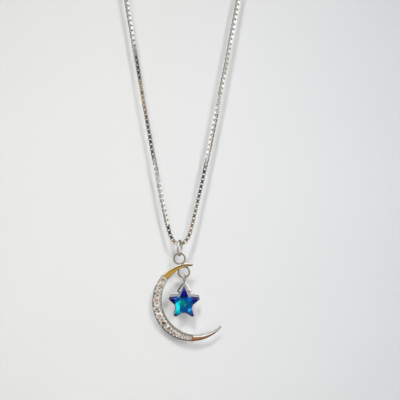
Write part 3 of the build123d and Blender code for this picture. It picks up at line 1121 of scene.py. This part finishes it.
# Painted light on the wall: share of the wall's colour at the left and at the right of the necklace, lighter
# at the left and darker and bluer at the right, and how far to each side it changes
WALL_PAINTED_LIGHT_FADE = ((1.086, 1.082, 1.069), (0.894, 0.907, 0.955))
WALL_FADE_REACH = 0.08
NO_FADE = ((1, 1, 1), (1, 1, 1))


def stage_plane(name, corners, finish):
    """Flat four-cornered piece of the stage."""
    mesh = bpy.data.meshes.new(name)
    mesh.from_pydata([tuple(c) for c in corners], [], [(0, 1, 2, 3)])
    mesh.materials.append(finish)
    plane = bpy.data.objects.new(name, mesh)
    bpy.context.scene.collection.objects.link(plane)
    return plane


def upright_plane(name, y, x_span, z_span, finish):
    """Flat upright piece of the stage that faces along Y, to the front where the first x is the lower one."""
    (x0, x1), (z0, z1) = x_span, z_span
    return stage_plane(name, [(x0, y, z0), (x1, y, z0), (x1, y, z1), (x0, y, z1)], finish)


def pale_finish(name, fade, one_sided):
    """Matt pale paint with a faint cloudiness, and painted light behind the necklace: a slow change from
    lighter at the left to darker at the right. A one-sided wall can be looked through from behind."""
    finish, shader, tree = new_finish(name)
    spot = tree.add("ShaderNodeTexCoord").outputs["Object"]
    cloud = tree.noise(spot, scale=9.0, detail=2.0, roughness=0.4)
    tint = tree.ramp(cloud, [(0.35, PAINT), (0.65, tuple(CLOUD_SHADE * c for c in PAINT))])
    # painted light: the paint is lighter to the left and darker to the right
    aside = tree.spread(tree.part(spot, "X"), 0.0, 1.0, from_min=-WALL_FADE_REACH, from_max=WALL_FADE_REACH)
    painted_falloff = tree.product(tint, tree.ramp(aside, list(zip((0.0, 1.0), fade))))
    tree.join(painted_falloff, shader.inputs["Base Color"])
    shader.inputs["Roughness"].default_value = 0.9
    shader.inputs["Specular IOR Level"].default_value = 0.1
    if one_sided:
        side = tree.add("ShaderNodeNewGeometry")
        clear = tree.add("ShaderNodeBsdfTransparent")
        seen = tree.either(side.outputs["Backfacing"], shader.outputs["BSDF"], clear.outputs["BSDF"])
        tree.join(seen, finish.node_tree.nodes["Material Output"].inputs["Surface"])
    return finish


def glow_finish(name, glows, low_z, high_z):
    """Card that glows with a colour which changes with height, to be mirrored in the metal."""
    finish, shader, tree = new_finish(name)
    spot = tree.add("ShaderNodeTexCoord").outputs["Object"]
    height = tree.spread(tree.part(spot, "Z"), 0.0, 1.0, from_min=low_z, from_max=high_z)
    tint = tree.ramp(height, list(zip((0.0, 0.5, 1.0), glows)))
    shader.inputs["Base Color"].default_value = (0, 0, 0, 1)
    tree.join(tint, shader.inputs["Emission Color"])
    shader.inputs["Emission Strength"].default_value = 1.0
    return finish


def room_sky():
    """Room around the necklace: a white tent, dimmer below than above, with a dark opening in front for the
    camera."""
    world = bpy.data.worlds.new("room")
    world.use_nodes = True
    tree = Nodes(world.node_tree)
    mirrored, out = (world.node_tree.nodes[name] for name in ("Background", "World Output"))
    way = tree.add("ShaderNodeTexCoord").outputs["Generated"]
    sides = tree.ramp(tree.spread(tree.part(way, "Y"), 0.0, 1.0, from_min=-1.0), ROOM_FRONT_TO_BACK)
    heights = tree.ramp(tree.spread(tree.part(way, "Z"), 0.0, 1.0, from_min=-1.0), ROOM_BELOW_TO_ABOVE)
    tree.join(tree.product(sides, heights), mirrored.inputs["Color"])
    path = tree.add("ShaderNodeLightPath")
    strength = tree.spread(path.outputs["Is Diffuse Ray"], 1.0, ROOM_FILL)
    tree.join(strength, mirrored.inputs["Strength"])
    pale = tree.add("ShaderNodeBackground")
    pale.inputs["Color"].default_value = (*ROOM_SEEN, 1)
    seen = path.outputs["Is Camera Ray"]
    both = tree.either(seen, mirrored.outputs["Background"], pale.outputs["Background"])
    tree.join(both, out.inputs["Surface"])
    bpy.context.scene.world = world


def soft_light(name, spot, aim, size, watts):
    """Square soft light aimed at a point."""
    data = bpy.data.lights.new(name, "AREA")
    data.shape = "SQUARE"
    data.size = size
    data.energy = watts
    light = bpy.data.objects.new(name, data)
    light.location = spot
    light.rotation_mode = "QUATERNION"
    light.rotation_quaternion = (Vector(aim) - Vector(spot)).to_track_quat("-Z", "Y")
    light.visible_camera = False
    bpy.context.scene.collection.objects.link(light)
    return light


def make_stage():
    """Wall, floor, cards, lights and the sky."""
    wall = pale_finish("pale_wall", WALL_PAINTED_LIGHT_FADE, True)
    floor = pale_finish("pale_floor", NO_FADE, False)
    spans = (-WALL_SIDE, WALL_SIDE), (FLOOR_BELOW, WALL_TOP)
    backdrop = upright_plane("backdrop", WALL_BEHIND, *spans, wall)
    corners = FLOOR_SIDE * np.array([(-1, -1), (1, -1), (1, 1), (-1, 1)])
    ground = stage_plane("floor", [(x, y, FLOOR_BELOW) for x, y in corners], floor)
    backdrop.visible_glossy = ground.visible_glossy = False
    for name, (left, right), z_span, glows in MIRROR_CARDS:
        card = upright_plane(name, CARD_Y, (right, left), z_span, glow_finish(name, glows, *z_span))
        card.visible_camera = card.visible_shadow = card.visible_diffuse = False
    for name, spot, size, watts in WINDOWS:
        soft_light(name, spot, PENDANT, size, watts)
    for name, (aside, above), watts in NEAR_LAMPS:
        spot = PENDANT + LAMP_RETREAT * (np.array(CAMERA_PLACE) + np.array([aside, 0, above]) - PENDANT)
        lamp = soft_light(name, spot, PENDANT, NEAR_LAMP_SIZE, watts)
        lamp.visible_glossy = False
    room_sky()


# Camera


def make_camera():
    """Camera square to the necklace's plane, a little above the pendant, leaning by a small roll."""
    data = bpy.data.cameras.new("camera")
    data.lens = CAMERA_LENS
    data.sensor_width = 36.0
    data.clip_start = 0.002
    data.clip_end = 10.0
    camera = bpy.data.objects.new("camera", data)
    roll = math.radians(CAMERA_ROLL)
    right = Vector((math.cos(roll), 0, math.sin(roll)))
    up = Vector((-math.sin(roll), 0, math.cos(roll)))
    back = Vector((0, -1, 0))
    turn = Matrix((right, up, back)).transposed()
    camera.matrix_world = Matrix.Translation(CAMERA_PLACE) @ turn.to_4x4()
    bpy.context.scene.collection.objects.link(camera)
    bpy.context.scene.camera = camera


def finish_cad_node(name, finish):
    """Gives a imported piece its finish."""
    node = frame["nodes"][name]
    node.data.materials.clear()
    node.data.materials.append(finish)


box_chain()
moon_piece = crescent()
bead_prongs()
rings_and_loops()
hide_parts("moon")
star_bail()
crystal_star()
finish_cad_node("clasp", silver)
for stone_name in stone_names:
    finish_cad_node(stone_name, clear_stone)
make_stage()
make_camera()
bpy.context.scene.view_settings.view_transform = "Standard"
